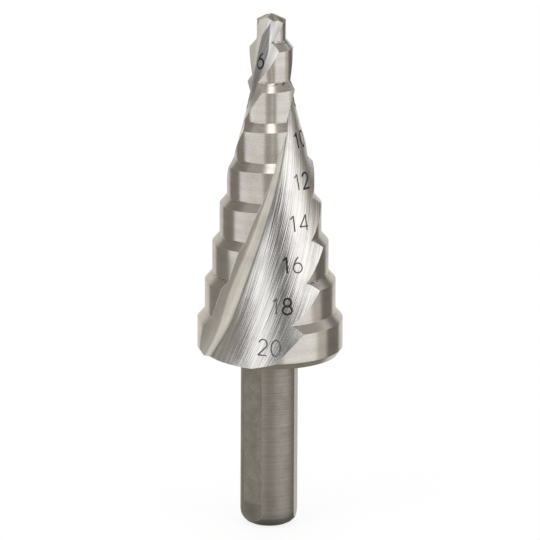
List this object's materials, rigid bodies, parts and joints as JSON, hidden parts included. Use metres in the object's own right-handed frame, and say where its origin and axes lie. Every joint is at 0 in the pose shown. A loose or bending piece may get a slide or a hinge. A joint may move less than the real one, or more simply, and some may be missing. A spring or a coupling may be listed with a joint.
{
  "type": "step drill bit",
  "caption": "Cone-shaped metal drill with stepped diameters, two spiral flutes, a split point and a round shank with flats.",
  "frame": {"origin": "centre of the shank's flat end face", "axes": "+Z along the drill's axis from the shank's end to the point, -Y towards the side that the picture shows"},
  "size_m": [0.02, 0.02, 0.0724],
  "materials": {
    "steel": "bright turned and ground high-speed steel, duller and darker on the shank"
  },
  "bodies": {
    "root": {"step_drill": "steel"}
  },
  "joints": []
}
